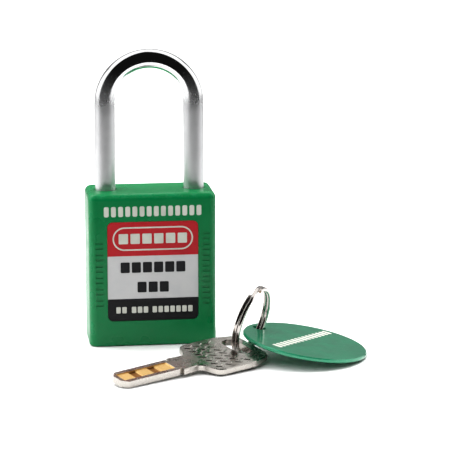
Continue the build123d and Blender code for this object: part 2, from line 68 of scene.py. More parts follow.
def place(tree, kind, label="", **values):
    """Add one shader node and set its properties and input values by name."""
    node = tree.nodes.new(kind)
    node.label = label
    for key, value in values.items():
        if hasattr(node, key):
            setattr(node, key, value)
        else:
            node.inputs[key.replace("_", " ")].default_value = value
    return node


def join(tree, source, target):
    """Wire an output socket to an input socket."""
    tree.links.new(source, target)


def maths(tree, operation, a, b=None, clamp=False):
    """One Math node; a and b are sockets or plain numbers."""
    node = tree.nodes.new("ShaderNodeMath")
    node.operation = operation
    node.use_clamp = clamp
    for index, value in enumerate((a, b)):
        if value is None:
            continue
        if isinstance(value, (int, float)):
            node.inputs[index].default_value = value
        else:
            tree.links.new(value, node.inputs[index])
    return node.outputs[0]


def mix_colour(tree, factor, a, b):
    """Blend two colours; each is a socket or an RGBA tuple."""
    node = tree.nodes.new("ShaderNodeMix")
    node.data_type = "RGBA"
    for socket, value in ((node.inputs["Factor"], factor), (node.inputs[6], a), (node.inputs[7], b)):
        if isinstance(value, (int, float, tuple)):
            socket.default_value = value
        else:
            tree.links.new(value, socket)
    return node.outputs[2]


def remap(tree, value, low, high, to_low=0.0, to_high=1.0, smooth=True):
    """Stretch a value from one range to another, with soft ends if wanted."""
    node = tree.nodes.new("ShaderNodeMapRange")
    node.interpolation_type = "SMOOTHSTEP" if smooth else "LINEAR"
    tree.links.new(value, node.inputs["Value"])
    for name, number in (("From Min", low), ("From Max", high), ("To Min", to_low), ("To Max", to_high)):
        node.inputs[name].default_value = number
    return node.outputs["Result"]


print("helpers ready")

# %% [markdown]
# ## Effects that several finishes share
#
# Real surfaces differ from a flat colour in a few ways that come back again and again: a fine
# grain, hairline scratches, wear along the edges (on the shell also a painted highlight), and a
# little dust on what faces up. Each effect is a node group, built once. A group gives out only a
# mask or a height, and the finish itself decides what that mask does, so the same grain can
# roughen plastic and dull a metal.

# %% A new shared effect
def new_group(name, inputs, outputs):
    """An empty shader group with named sockets; returns the tree and its two end nodes."""
    group = bpy.data.node_groups.new(name, "ShaderNodeTree")
    for label, kind, default in inputs:
        socket = group.interface.new_socket(label, in_out="INPUT", socket_type=kind)
        if default is not None:
            socket.default_value = default
    for label in outputs:
        group.interface.new_socket(label, in_out="OUTPUT", socket_type="NodeSocketFloat")
    return group, group.nodes.new("NodeGroupInput"), group.nodes.new("NodeGroupOutput")


print("shared effects can be made")

# %% [markdown]
# ### Grain
#
# Moulded, cast and stamped skins all have a fine tooth, and their tone drifts slowly over several
# millimetres. Noise at two sizes gives both: small for the tooth, and about seventeen times larger
# for the drift. An image of a surface would repeat and blur up close, so noise is the better way.

# %% Shared effect: grain
CLOUD_TO_GRAIN = 0.06


def build_grain():
    """Two sizes of noise: Fine for bump, Cloudy for slow changes of tone."""
    group, given, result = new_group(
        "surface_grain",
        [("Place", "NodeSocketVector", None), ("Size mm", "NodeSocketFloat", 0.3)],
        ["Fine", "Cloudy"],
    )
    per_metre = maths(group, "DIVIDE", 1000.0, given.outputs["Size mm"])
    fine = place(group, "ShaderNodeTexNoise", "fine grain", Detail=4.0, Roughness=0.55)
    cloudy = place(group, "ShaderNodeTexNoise", "slow clouds", Detail=2.0, Roughness=0.5)
    join(group, given.outputs["Place"], fine.inputs["Vector"])
    join(group, given.outputs["Place"], cloudy.inputs["Vector"])
    join(group, per_metre, fine.inputs["Scale"])
    join(group, maths(group, "MULTIPLY", per_metre, CLOUD_TO_GRAIN), cloudy.inputs["Scale"])
    join(group, fine.outputs["Fac"], result.inputs["Fine"])
    join(group, cloudy.outputs["Fac"], result.inputs["Cloudy"])
    return group


GRAIN = build_grain()
print("group:", GRAIN.name)

# %% [markdown]
# ### Hairline scratches
#
# Handling leaves fine lines that run mostly one way, with a few across. Each could be drawn as a
# curve, but thousands are needed. Noise squeezed along one axis makes streaks, and keeping only
# its peaks leaves thin lines. Two layers, turned a little apart, cross as real scratches do.

# %% Shared effect: hairline scratches
LINE_TURNS = (0.35, -0.8)
LINE_SHARPNESS = 9.0


def build_scratches():
    """Thin lines in two crossing directions, from noise squeezed along one axis."""
    group, given, result = new_group(
        "hairline_scratches",
        [("Place", "NodeSocketVector", None), ("Along", "NodeSocketVector", (1.0, 0.04, 1.0)),
         ("Per metre", "NodeSocketFloat", 4000.0), ("Rarity", "NodeSocketFloat", 0.62)],
        ["Lines"],
    )
    layers = []
    for turn in LINE_TURNS:
        spin = place(group, "ShaderNodeMapping", "turn the lines")
        spin.inputs["Rotation"].default_value = (0.2, 0.15, turn)
        join(group, given.outputs["Place"], spin.inputs["Vector"])
        squeeze = place(group, "ShaderNodeVectorMath", "squeeze", operation="MULTIPLY")
        join(group, spin.outputs["Vector"], squeeze.inputs[0])
        join(group, given.outputs["Along"], squeeze.inputs[1])
        lines = place(group, "ShaderNodeTexNoise", "lines", Detail=2.0, Roughness=0.6)
        join(group, squeeze.outputs["Vector"], lines.inputs["Vector"])
        join(group, given.outputs["Per metre"], lines.inputs["Scale"])
        over = maths(group, "SUBTRACT", lines.outputs["Fac"], given.outputs["Rarity"])
        layers.append(maths(group, "MULTIPLY", over, LINE_SHARPNESS, clamp=True))
    join(group, maths(group, "MAXIMUM", layers[0], layers[1]), result.inputs["Lines"])
    return group


SCRATCHES = build_scratches()
print("group:", SCRATCHES.name)

# %% [markdown]
# ### Worn edges, and a painted edge highlight
#
# A moulded box is rubbed first along its edges. Blender can find edges by tracing short rays, but
# that is slow and is lost when the model is saved for other programs. The shell is nearly a box, so
# the mask is worked out instead: on an edge, two of the three depths under the faces are small.

# %% Shared effect: worn and highlit edges of a box-like piece
# The green shell uses this mask both for wear and for a painted highlight along its edges.
def build_edge_wear_and_highlight():
    """Mask along the edges of a box: a point near an edge is near two of the box's faces."""
    group, given, result = new_group(
        "worn_and_highlit_box_edges",
        [("Place", "NodeSocketVector", None), ("Middle", "NodeSocketVector", None),
         ("Half", "NodeSocketVector", None), ("Reach", "NodeSocketFloat", 0.002),
         ("Breakup per metre", "NodeSocketFloat", 600.0)],
        ["Mask"],
    )
    offset = place(group, "ShaderNodeVectorMath", "from the middle", operation="SUBTRACT")
    join(group, given.outputs["Place"], offset.inputs[0])
    join(group, given.outputs["Middle"], offset.inputs[1])
    away = place(group, "ShaderNodeVectorMath", "either side", operation="ABSOLUTE")
    join(group, offset.outputs["Vector"], away.inputs[0])
    depth = place(group, "ShaderNodeVectorMath", "depth under each face", operation="SUBTRACT")
    join(group, given.outputs["Half"], depth.inputs[0])
    join(group, away.outputs["Vector"], depth.inputs[1])
    parts = place(group, "ShaderNodeSeparateXYZ", "three depths")
    join(group, depth.outputs["Vector"], parts.inputs[0])
    x, y, z = parts.outputs
    low = maths(group, "MINIMUM", maths(group, "MINIMUM", x, y), z)
    high = maths(group, "MAXIMUM", maths(group, "MAXIMUM", x, y), z)
    total = maths(group, "ADD", maths(group, "ADD", x, y), z)
    second = maths(group, "SUBTRACT", maths(group, "SUBTRACT", total, low), high)
    share = maths(group, "DIVIDE", second, given.outputs["Reach"])
    near = maths(group, "SUBTRACT", 1.0, share, clamp=True)
    breakup = place(group, "ShaderNodeTexNoise", "breakup", Detail=3.0)
    join(group, given.outputs["Place"], breakup.inputs["Vector"])
    join(group, given.outputs["Breakup per metre"], breakup.inputs["Scale"])
    patchy = remap(group, breakup.outputs["Fac"], 0.35, 0.7)
    join(group, maths(group, "MULTIPLY", near, patchy, clamp=True), result.inputs["Mask"])
    return group


EDGE_WEAR_AND_HIGHLIGHT = build_edge_wear_and_highlight()
print("group:", EDGE_WEAR_AND_HIGHLIGHT.name)

# %% [markdown]
# ### Dust
#
# Dust settles on what faces up. The direction of the surface says where, and noise breaks it into
# specks, so it never looks like a coat of grey paint.

# %% Shared effect: dust on what faces up
def build_dust():
    """Mask of dust: strongest on upward faces, broken up by noise."""
    group, given, result = new_group(
        "settled_dust",
        [("Place", "NodeSocketVector", None), ("Amount", "NodeSocketFloat", 0.2)],
        ["Mask"],
    )
    surface = place(group, "ShaderNodeNewGeometry", "surface")
    parts = place(group, "ShaderNodeSeparateXYZ", "facing")
    join(group, surface.outputs["Normal"], parts.inputs[0])
    up = maths(group, "MAXIMUM", parts.outputs["Z"], 0.0)
    specks = place(group, "ShaderNodeTexNoise", "specks", Scale=1800.0, Detail=3.0)
    join(group, given.outputs["Place"], specks.inputs["Vector"])
    broken = maths(group, "MULTIPLY", up, remap(group, specks.outputs["Fac"], 0.45, 0.75))
    join(group, maths(group, "MULTIPLY", broken, given.outputs["Amount"]), result.inputs["Mask"])
    return group


DUST = build_dust()
print("group:", DUST.name)

# %% [markdown]
# ## One frame for every finish
#
# Every finish starts the same way: an empty material, one Principled shader, and the place of
# each point on its own piece (the Object coordinate). Object coordinates are chosen because they
# move with the piece, so the grain stays put when the shackle lifts.

# %% Start and end a finish
def start_finish(name, roughness, metallic=0.0):
    """A material with its Principled shader and the Object coordinate ready."""
    material = bpy.data.materials.new(name)
    material.use_nodes = True
    tree = material.node_tree
    shader = tree.nodes["Principled BSDF"]
    shader.inputs["Roughness"].default_value = roughness
    shader.inputs["Metallic"].default_value = metallic
    spot = place(tree, "ShaderNodeTexCoord", "place on the piece").outputs["Object"]
    return material, tree, shader, spot


def use_group(tree, group, spot, **values):
    """Place a shared effect and wire the surface position into it."""
    node = tree.nodes.new("ShaderNodeGroup")
    node.node_tree = group
    tree.links.new(spot, node.inputs["Place"])
    for key, value in values.items():
        node.inputs[key.replace("_", " ")].default_value = value
    return node


def bump_from(tree, shader, height, strength, depth_mm):
    """Let a height mask dent the surface."""
    bump = place(tree, "ShaderNodeBump", "dents")
    bump.inputs["Strength"].default_value = strength
    bump.inputs["Distance"].default_value = depth_mm * MM
    tree.links.new(height, bump.inputs["Height"])
    tree.links.new(bump.outputs["Normal"], shader.inputs["Normal"])


FINISHES = {}


def dress(node_name, material):
    """Give a ready-made part its finish."""
    mesh = nodes[node_name].data
    mesh.materials.clear()
    mesh.materials.append(material)


# %% [markdown]
# ## Moulded green plastic
#
# The padlock's shell is injection-moulded nylon: a deep green with a satin skin, a very fine
# orange-peel texture, and edges that polish a little lighter where hands and hasps rub. That
# lighter green along the edges is partly wear and partly a painted highlight. A flat green would
# look like paint on paper, so tone, gloss and bump all change slowly over the skin.

# %% Finish: moulded green plastic
EDGE_REACH = 1.6 * MM
GREEN_DEEP, GREEN_LIGHT = (0.000, 0.172, 0.050, 1), (0.000, 0.194, 0.060, 1)
# The rubbed edge green is partly wear and partly a painted highlight along the edges.
GREEN_RUBBED_AND_HIGHLIGHT, GREEN_DUSTY = (0.05, 0.42, 0.22, 1), (0.45, 0.50, 0.46, 1)


def green_plastic():
    """Two near greens in slow clouds, lighter (wear and painted highlight) and glossier along the edges,
    with a little dust.
    """
    material, tree, shader, spot = start_finish("moulded_green_plastic", 0.4)
    low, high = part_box("body_shell")
    grain = use_group(tree, GRAIN, spot, Size_mm=0.5)
    edges = use_group(
        tree, EDGE_WEAR_AND_HIGHLIGHT, spot, Middle=(low + high) / 2, Half=(high - low) / 2, Reach=EDGE_REACH
    )
    dust = use_group(tree, DUST, spot, Amount=0.10)
    tone = mix_colour(tree, grain.outputs["Cloudy"], GREEN_DEEP, GREEN_LIGHT)
    # Painted highlight and wear: the edges are mixed towards a lighter green.
    rubbed_and_highlight = maths(tree, "MULTIPLY", edges.outputs["Mask"], 0.22)
    lighter = mix_colour(tree, rubbed_and_highlight, tone, GREEN_RUBBED_AND_HIGHLIGHT)
    dusty = mix_colour(tree, dust.outputs["Mask"], lighter, GREEN_DUSTY)
    join(tree, dusty, shader.inputs["Base Color"])
    gloss = remap(tree, grain.outputs["Cloudy"], 0.3, 0.7, 0.26, 0.34)
    polish = maths(tree, "MULTIPLY", edges.outputs["Mask"], 0.08)
    join(tree, maths(tree, "SUBTRACT", gloss, polish), shader.inputs["Roughness"])
    shader.inputs["Specular IOR Level"].default_value = 0.35
    bump_from(tree, shader, grain.outputs["Fine"], 0.12, 0.01)
    return material


FINISHES["green_body"] = green_plastic()
dress("body_shell", FINISHES["green_body"])
print("dressed: body_shell")

# %% [markdown]
# ## Polished steel for the shackle
#
# The shackle is a hardened steel bar with bright chrome plating. Chrome shows almost nothing of
# its own: it mirrors the studio. What makes it read as metal is a slight haze in the mirror, fine
# polishing lines along the bar, and a slow change in the gloss. The two legs are given a duller,
# brushed finish that fades into the polished bend.

# %% Finish: bright plated steel
LINE_MARKS, METAL_GRAIN_MM = 0.10, 0.2
SATIN_ROUGHER, SATIN_LESS_METAL = 0.30, 0.8
FADE_BELOW, FADE_ABOVE = 8 * MM, 10 * MM


def bright_metal(name, colour, roughness, lines_along, satin_below=None):
    """Polished metal with polishing lines; satin_below is a height under which it is only brushed."""
    material, tree, shader, spot = start_finish(name, roughness, metallic=1.0)
    grain = use_group(tree, GRAIN, spot, Size_mm=METAL_GRAIN_MM)
    lines = use_group(tree, SCRATCHES, spot, Along=lines_along, Per_metre=3500.0, Rarity=0.60)
    darker = tuple(c * 0.86 for c in colour) + (1,)
    tone = mix_colour(tree, grain.outputs["Cloudy"], darker, colour + (1,))
    join(tree, tone, shader.inputs["Base Color"])
    rough = remap(tree, grain.outputs["Cloudy"], 0.3, 0.7, roughness * 0.75, roughness * 1.3)
    marks = maths(tree, "MULTIPLY", lines.outputs["Lines"], LINE_MARKS)
    marked = maths(tree, "ADD", rough, marks, clamp=True)
    if satin_below is not None:
        height = place(tree, "ShaderNodeSeparateXYZ", "height")
        join(tree, spot, height.inputs[0])
        brushed = remap(
            tree, height.outputs["Z"], satin_below - FADE_BELOW, satin_below + FADE_ABOVE, SATIN_ROUGHER, 0.0
        )
        marked = maths(tree, "ADD", marked, brushed, clamp=True)
        duller = maths(tree, "MULTIPLY", brushed, SATIN_LESS_METAL)
        join(tree, maths(tree, "SUBTRACT", 1.0, duller), shader.inputs["Metallic"])
    join(tree, marked, shader.inputs["Roughness"])
    bump_from(tree, shader, lines.outputs["Lines"], 0.12, 0.01)
    return material


FADE_AT = 76 * MM
FINISHES["shackle_chrome"] = bright_metal(
    "bright_plated_steel", (0.80, 0.80, 0.81), 0.07, (1.0, 1.0, 0.05), satin_below=FADE_AT
)
FINISHES["ring_steel"] = bright_metal("bright_ring_wire", (0.62, 0.58, 0.55), 0.14, (1.0, 1.0, 0.3))
FINISHES["ball_steel"] = bright_metal("ground_ball_steel", (0.75, 0.75, 0.77), 0.12, (1.0, 1.0, 1.0))
for name, slot in (("shackle", "shackle_chrome"), ("split_ring", "ring_steel"),
                   ("ball_heel", "ball_steel"), ("ball_toe", "ball_steel")):
    dress(name, FINISHES[slot])
print("bright metals ready")

# %% [markdown]
# ## Machined and cast metals inside
#
# The cylinder, plug and pins are brass turned on a lathe, the carrier and cam are cast zinc, and
# the springs are drawn wire. They show when the lock is taken apart or opened, so each gets tool
# marks and a duller, uneven gloss rather than a mirror.

# %% Finish: machined brass, cast zinc, drawn wire
TOOL_MARKS = 0.12


def worked_metal(name, colour, roughness, grain_mm, dent, tarnish):
    """Plain working metal: uneven gloss, small dents and a darker tarnish in clouds."""
    material, tree, shader, spot = start_finish(name, roughness, metallic=1.0)
    grain = use_group(tree, GRAIN, spot, Size_mm=grain_mm)
    lines = use_group(tree, SCRATCHES, spot, Along=(1.0, 1.0, 0.08), Per_metre=2500.0, Rarity=0.55)
    dull = mix_colour(tree, remap(tree, grain.outputs["Cloudy"], 0.4, 0.75), colour + (1,), tarnish + (1,))
    join(tree, dull, shader.inputs["Base Color"])
    rough = remap(tree, grain.outputs["Fine"], 0.25, 0.75, roughness * 0.7, roughness * 1.35)
    tooled = maths(tree, "MULTIPLY", lines.outputs["Lines"], TOOL_MARKS)
    join(tree, maths(tree, "ADD", rough, tooled), shader.inputs["Roughness"])
    bump_from(tree, shader, grain.outputs["Fine"], dent, 0.015)
    return material


FINISHES["brass_cylinder"] = worked_metal(
    "turned_brass", (0.76, 0.56, 0.26), 0.28, 0.25, 0.2, (0.50, 0.34, 0.15)
)
FINISHES["hard_steel"] = worked_metal(
    "turned_steel", (0.60, 0.60, 0.61), 0.27, 0.25, 0.2, (0.36, 0.36, 0.37)
)
FINISHES["zinc_cast"] = worked_metal(
    "cast_zinc", (0.52, 0.53, 0.55), 0.45, 0.5, 0.5, (0.34, 0.35, 0.37)
)
FINISHES["spring_steel"] = worked_metal(
    "drawn_spring_wire", (0.55, 0.56, 0.58), 0.30, 0.15, 0.15, (0.30, 0.30, 0.32)
)
print("working metals ready")

# %% Dress the inner parts from their slots
SLOT_OF = {part["node"]: part["material_slot"] for part in frame["record"]["subparts"]}
for node_name, slot in SLOT_OF.items():
    if slot in ("brass_cylinder", "hard_steel", "zinc_cast", "spring_steel"):
        dress(node_name, FINISHES[slot])
print("inner parts dressed:", sum(1 for slot in SLOT_OF.values() if slot in FINISHES))

# %% [markdown]
# ## Dark moulded parts
#
# The bottom cover and the two leg bushes are dark nylon straight from the mould: no gloss, a
# slightly sandy texture, and scuffs.

# %% Finish: dark nylon
SCUFF_GREY, SCUFF_SHOWS = (0.20, 0.20, 0.20, 1), 0.25


def dark_nylon(name, colour, roughness):
    """Sandy nylon: a lighter tone in clouds, pale scuffs and an uneven, dull gloss."""
    material, tree, shader, spot = start_finish(name, roughness)
    grain = use_group(tree, GRAIN, spot, Size_mm=0.3)
    scuffs = use_group(tree, SCRATCHES, spot, Along=(1.0, 0.1, 1.0), Per_metre=1800.0, Rarity=0.6)
    lighter = tuple(min(1.0, c * 1.7 + 0.02) for c in colour) + (1,)
    tone = mix_colour(tree, remap(tree, grain.outputs["Cloudy"], 0.3, 0.8), colour + (1,), lighter)
    scuffed = mix_colour(
        tree, maths(tree, "MULTIPLY", scuffs.outputs["Lines"], SCUFF_SHOWS), tone, SCUFF_GREY
    )
    join(tree, scuffed, shader.inputs["Base Color"])
    join(tree, remap(tree, grain.outputs["Fine"], 0.3, 0.7, roughness - 0.08, roughness + 0.1),
         shader.inputs["Roughness"])
    bump_from(tree, shader, grain.outputs["Fine"], 0.4, 0.03)
    return material


FINISHES["cover_dark"] = dark_nylon("dark_cover_nylon", (0.035, 0.037, 0.040), 0.55)
FINISHES["bush_black"] = dark_nylon("black_bush_nylon", (0.012, 0.012, 0.012), 0.5)
dress("bottom_cover", FINISHES["cover_dark"])
dress("heel_bush", FINISHES["bush_black"])
dress("toe_bush", FINISHES["bush_black"])
print("dark nylon ready")

# %% [markdown]
# ## The printed label
#
# The label is a film of silvered vinyl, sunk in its recess, with bands of ink on it. Ink is not
# quite even: it thins a little in clouds, and the film under it has a faint pebbled surface.

# %% Finish: film and inks
def printed(name, colour, roughness, thin_colour):
    """Ink or film: slow change between two near colours, a fine pebble, and its own gloss."""
    material, tree, shader, spot = start_finish(name, roughness)
    grain = use_group(tree, GRAIN, spot, Size_mm=0.22)
    tone = mix_colour(
        tree, remap(tree, grain.outputs["Cloudy"], 0.35, 0.8), colour + (1,), thin_colour + (1,)
    )
    speckled = mix_colour(
        tree, remap(tree, grain.outputs["Fine"], 0.55, 0.8, 0.0, 0.25), tone, thin_colour + (1,)
    )
    join(tree, speckled, shader.inputs["Base Color"])
    join(tree, remap(tree, grain.outputs["Cloudy"], 0.3, 0.7, roughness - 0.06, roughness + 0.08),
         shader.inputs["Roughness"])
    shader.inputs["Specular IOR Level"].default_value = 0.25
    bump_from(tree, shader, grain.outputs["Fine"], 0.15, 0.01)
    return material


FINISHES["label_silver"] = printed("silvered_film", (0.60, 0.60, 0.60), 0.42, (0.57, 0.575, 0.58))
FINISHES["label_red"] = printed("red_ink", (0.47, 0.020, 0.028), 0.38, (0.43, 0.022, 0.030))
FINISHES["label_black"] = printed("black_ink", (0.008, 0.008, 0.009), 0.38, (0.013, 0.013, 0.014))
FINISHES["print_pale"] = printed("pale_ink", (0.62, 0.63, 0.57), 0.5, (0.54, 0.55, 0.49))
FINISHES["print_dark"] = printed("dark_ink", (0.012, 0.012, 0.014), 0.5, (0.022, 0.022, 0.024))
for node_name, slot in SLOT_OF.items():
    if slot.startswith(("label_", "print_")):
        dress(node_name, FINISHES[slot])
print("label printed")

# %% [markdown]
# ## The key
#
# The key is stamped from brass and plated with nickel. The plating is cut through where the
# pattern is milled into the blade, so the cuts shine yellow. The colour therefore depends on
# depth: below the blade's face it is brass, on the face it is nickel. Deeper in the cuts the brass
# is painted darker, as painted shade in the valleys.

# %% The key's own directions
KEY_TIP = Vector((-15.1, -54.8, 2.6)) * MM
KEY_YAW, KEY_PITCH, KEY_ROLL = (math.radians(a) for a in (30.4, 2.1, 8.0))


def key_axes():
    """Unit vectors along the key, across it and out of its face."""
    level = math.cos(KEY_PITCH)
    along = Vector((math.cos(KEY_YAW) * level, math.sin(KEY_YAW) * level, math.sin(KEY_PITCH)))
    side = Vector((-math.sin(KEY_YAW), math.cos(KEY_YAW), 0))
    up = along.cross(side)
    across = side * math.cos(KEY_ROLL) + up * math.sin(KEY_ROLL)
    return along, across, along.cross(across)


print("key runs along", [round(c, 3) for c in key_axes()[0]])

# %% Finish: nickel with brass cuts
# The last two depths set where painted shade begins to darken the brass in the cuts and where it is full.
CUT_STARTS, CUT_SURE, CUT_SHADE_STARTS, CUT_SHADE_SURE = -0.03 * MM, -0.12 * MM, -0.45 * MM, -0.75 * MM
TRACK_HALF, TRACK_OUT = 2.42 * MM, 2.46 * MM
TRACK_FROM, TRACK_TO = 0.75 * MM, 20.5 * MM
BLADE_FLOOR, BLADE_UNDER = -1.1 * MM, -1.2 * MM
NICKEL_DARK, NICKEL_LIGHT = (0.50, 0.47, 0.43, 1), (0.60, 0.57, 0.53, 1)
# The third brass colour is painted shade for the bottoms of the cuts.
BRASS_DARK, BRASS_LIGHT, BRASS_CUT_SHADE = (0.50, 0.30, 0.10, 1), (0.86, 0.60, 0.26, 1), (0.26, 0.12, 0.035, 1)


def plated_key():
    """Nickel everywhere, and brass where a point lies in the milled track, under the blade's face, with
    painted shade deeper down.
    """
    material, tree, shader, spot = start_finish("nickel_over_brass", 0.3, metallic=1.0)
    along, across, out = key_axes()
    local = place(tree, "ShaderNodeVectorMath", "from the tip", operation="SUBTRACT")
    join(tree, spot, local.inputs[0])
    local.inputs[1].default_value = KEY_TIP

    def measure(axis, label):
        dot = place(tree, "ShaderNodeVectorMath", label, operation="DOT_PRODUCT")
        join(tree, local.outputs["Vector"], dot.inputs[0])
        dot.inputs[1].default_value = axis
        return dot.outputs["Value"]

    depth, run, side = measure(out, "depth"), measure(along, "along"), measure(across, "across")
    cut = remap(tree, depth, CUT_SURE, CUT_STARTS, 1.0, 0.0)
    in_track = remap(tree, maths(tree, "ABSOLUTE", side), TRACK_HALF, TRACK_OUT, 1.0, 0.0)
    on_blade = maths(tree, "MULTIPLY", remap(tree, run, TRACK_TO, TRACK_TO + 0.3 * MM, 1.0, 0.0),
                     remap(tree, run, TRACK_FROM, TRACK_FROM + 0.1 * MM))
    not_below = remap(tree, depth, BLADE_UNDER, BLADE_FLOOR)
    brass = maths(tree, "MULTIPLY", maths(tree, "MULTIPLY", cut, in_track),
                  maths(tree, "MULTIPLY", on_blade, not_below))
    grain = use_group(tree, GRAIN, spot, Size_mm=0.25)
    lines = use_group(tree, SCRATCHES, spot, Along=(1.0, 0.2, 1.0), Per_metre=2500.0, Rarity=0.56)
    nickel = mix_colour(tree, grain.outputs["Cloudy"], NICKEL_DARK, NICKEL_LIGHT)
    ripple = place(tree, "ShaderNodeTexWave", "mill marks", bands_direction="X", Scale=900.0, Distortion=3.0)
    ripple.inputs["Detail"].default_value = 2.0
    turned = place(tree, "ShaderNodeCombineXYZ", "along the track")
    join(tree, run, turned.inputs["X"])
    join(tree, side, turned.inputs["Y"])
    join(tree, turned.outputs["Vector"], ripple.inputs["Vector"])
    milled = mix_colour(tree, ripple.outputs["Fac"], BRASS_DARK, BRASS_LIGHT)
    # Painted shade: the brass darkens towards the bottoms of the cuts.
    cut_shade = remap(tree, depth, CUT_SHADE_SURE, CUT_SHADE_STARTS, 1.0, 0.0)
    yellow = mix_colour(tree, cut_shade, milled, BRASS_CUT_SHADE)
    join(tree, maths(tree, "SUBTRACT", 1.0, maths(tree, "MULTIPLY", brass, 0.45)), shader.inputs["Metallic"])
    join(tree, mix_colour(tree, brass, nickel, yellow), shader.inputs["Base Color"])
    rough = remap(tree, grain.outputs["Cloudy"], 0.3, 0.7, 0.20, 0.32)
    duller = maths(tree, "ADD", rough, maths(tree, "MULTIPLY", brass, 0.18))
    handled = maths(tree, "MULTIPLY", lines.outputs["Lines"], 0.06)
    join(tree, maths(tree, "ADD", duller, handled), shader.inputs["Roughness"])
    bump_from(tree, shader, grain.outputs["Fine"], 0.10, 0.01)
    return material


FINISHES["key_nickel"] = plated_key()
dress("key", FINISHES["key_nickel"])
print("dressed: key")

# %% [markdown]
# ## The stamped bow
#
# The bow of a stamped key carries raised marks pressed in by the die. It could be faked with a
# bump map, but a low light would give that away, so real raised strokes are built here: short
# leaf-shaped ridges in a herringbone, which say "stamped" without saying anything else.

# %% Raised strokes on the bow
BOW_FROM, BOW_TO, BOW_HALF = 31.4, 42.0, 8.6
STROKE_LONG, STROKE_WIDE, STROKE_HIGH = 2.6, 0.72, 0.22
STROKE_TILT = math.radians(36)
STROKE_ROWS, STROKE_STEP, STROKE_SHIFT = 7, 2.6, 0.65
STROKE_SUNK, TOP_SCALE = -0.02, 0.35
SLOT_FROM, SLOT_MIDDLE, SLOT_HALF = 40.5, 1.3, 7.6


def stroke_points(u, v, tilt, scale):
    """Corners of one leaf-shaped stroke on the key's face, in millimetres along and across."""
    leaf = [(-0.5, 0), (-0.22, 0.5), (0.28, 0.5), (0.5, 0), (0.28, -0.5), (-0.22, -0.5)]
    lean, rise = math.cos(tilt), math.sin(tilt)
    corners = []
    for a, b in leaf:
        a *= STROKE_LONG * (0.72 + 0.28 * scale)
        b *= STROKE_WIDE * scale
        corners.append((u + a * lean - b * rise, v + a * rise + b * lean))
    return corners


def add_stroke(work, u, v, tilt):
    """One ridge: a base ring sunk a hair into the face and a smaller top ring."""
    along, across, out = key_axes()
    rings = []
    for scale, height in ((1.0, STROKE_SUNK), (TOP_SCALE, STROKE_HIGH)):
        ring = []
        for a, b in stroke_points(u, v, tilt, scale):
            ring.append(work.verts.new(KEY_TIP + (along * a + across * b + out * height) * MM))
        rings.append(ring)
    base, top = rings
    for i in range(len(base)):
        j = (i + 1) % len(base)
        work.faces.new((base[i], base[j], top[j], top[i]))
    work.faces.new(top)
    work.faces.new(list(reversed(base)))


def build_bow_relief():
    """Herringbone of ridges, clear of the ring's slot."""
    work = bmesh.new()
    for row in range(STROKE_ROWS):
        u = BOW_FROM + (BOW_TO - BOW_FROM) * row / (STROKE_ROWS - 1)
        for step in range(-3, 4):
            v = step * STROKE_STEP + (STROKE_SHIFT if row % 2 else -STROKE_SHIFT)
            near_slot = u > SLOT_FROM and abs(v - SLOT_MIDDLE) < SLOT_HALF
            if abs(v) < BOW_HALF and not near_slot:
                add_stroke(work, u, v, STROKE_TILT if row % 2 else -STROKE_TILT)
    mesh = bpy.data.meshes.new("bow_relief")
    bmesh.ops.recalc_face_normals(work, faces=work.faces)
    work.to_mesh(mesh)
    work.free()
    relief = bpy.data.objects.new("bow_relief", mesh)
    bpy.context.scene.collection.objects.link(relief)
    mesh.materials.append(FINISHES["key_nickel"])
    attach(relief, "key_group")
    return relief


print("faces in the bow's relief:", len(build_bow_relief().data.polygons))

# %% [markdown]
# ## The tag
#
# The tag is a disc of aluminium, dyed green and sealed. The dye colours what the metal mirrors,
# and the clear seal over it adds a white sheen that grows at a low angle. One part-metal shader with
# a clear coat does both, which plain green paint could not.

# %% Finish: dyed aluminium
DYE_DEEP, DYE_LIGHT, DYE_SCUFFED = (0.012, 0.26, 0.13, 1), (0.025, 0.33, 0.17, 1), (0.35, 0.55, 0.45, 1)


def dyed_aluminium():
    """Partly metallic green with fine scuffs, under a clear and slightly hazy coat."""
    material, tree, shader, spot = start_finish("dyed_green_aluminium", 0.34, metallic=0.55)
    grain = use_group(tree, GRAIN, spot, Size_mm=0.3)
    lines = use_group(tree, SCRATCHES, spot, Along=(0.05, 1.0, 1.0), Per_metre=3000.0, Rarity=0.6)
    tone = mix_colour(tree, grain.outputs["Cloudy"], DYE_DEEP, DYE_LIGHT)
    scuffed = mix_colour(tree, maths(tree, "MULTIPLY", lines.outputs["Lines"], 0.15), tone, DYE_SCUFFED)
    join(tree, scuffed, shader.inputs["Base Color"])
    join(tree, remap(tree, grain.outputs["Cloudy"], 0.3, 0.7, 0.28, 0.40), shader.inputs["Roughness"])
    shader.inputs["Coat Weight"].default_value = 1.0
    shader.inputs["Coat Roughness"].default_value = 0.12
    bump_from(tree, shader, grain.outputs["Fine"], 0.12, 0.01)
    return material


FINISHES["tag_green"] = dyed_aluminium()
dress("key_tag", FINISHES["tag_green"])
print("dressed: key_tag")

# %% [markdown]
# ## The table
#
# The set stands on a plain sheet of white paper with a faint grain. Seen directly it is white all
# over. For the polished parts and the bounced light the same sheet is painted a little darker, and
# darker still far from the padlock: a painted pool of light around the set that fades to painted
# shade, as paper is beyond the reach of a studio's lamps.

# %% Table
# Painted light: for every ray but the camera's, a pool of light on the paper near the padlock fades to
# painted shade further off.
LIGHT_POOL_FULL, LIGHT_POOL_END = 0.14, 0.42
LIGHT_POOL_NEAR, LIGHT_POOL_FAR = 0.85, 0.25
TABLE_HALF_W = 3.0
TABLE_FRONT = -0.155
TABLE_BACK = 3.0
TABLE_DROP = 0.05 * MM


